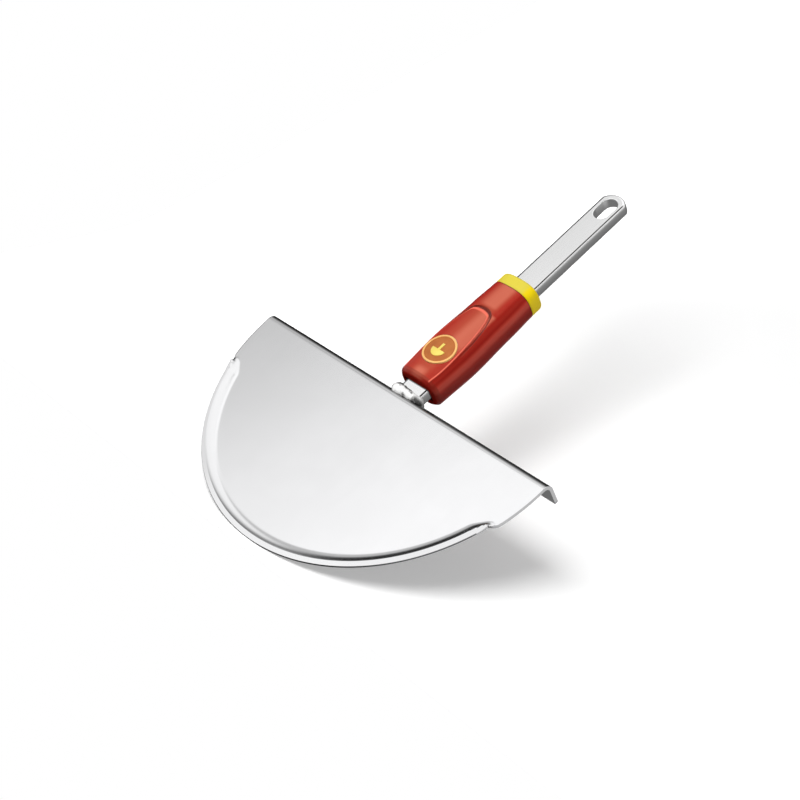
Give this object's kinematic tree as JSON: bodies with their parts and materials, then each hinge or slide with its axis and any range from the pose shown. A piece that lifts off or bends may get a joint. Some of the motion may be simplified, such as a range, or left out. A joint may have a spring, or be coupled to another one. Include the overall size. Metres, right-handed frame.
{
  "type": "half moon edger head",
  "caption": "Half moon lawn edger head: pressed steel blade with a raised ground rim and folded tread, welded to a slotted flat tang with a plastic grip sleeve and collar.",
  "frame": {"origin": "under the middle of the part's bounding box, at the level of its lowest point, the belly of the sleeve", "axes": "+X along the fold of the blade, +Y from the blade to the tip of the tang, +Z out of the blade's face"},
  "size_m": [0.224, 0.2854, 0.0248],
  "materials": {
    "blade_steel": "bright polished",
    "tang_steel": "bright satin",
    "weld_metal": "bright rippled",
    "red_plastic": "semi gloss",
    "yellow_plastic": "semi gloss",
    "badge_ground": "metallic print",
    "badge_ring": "metallic print",
    "badge_figure": "metallic print",
    "pin_steel": "bare"
  },
  "bodies": {
    "root": {"blade": "blade_steel", "tang": "tang_steel", "weld_bead": "weld_metal", "sleeve": "red_plastic", "collar": "yellow_plastic", "badge_plate": "badge_ground", "badge_bezel": "badge_ring", "badge_motif": "badge_figure", "retaining_pin": "pin_steel"}
  },
  "joints": []
}
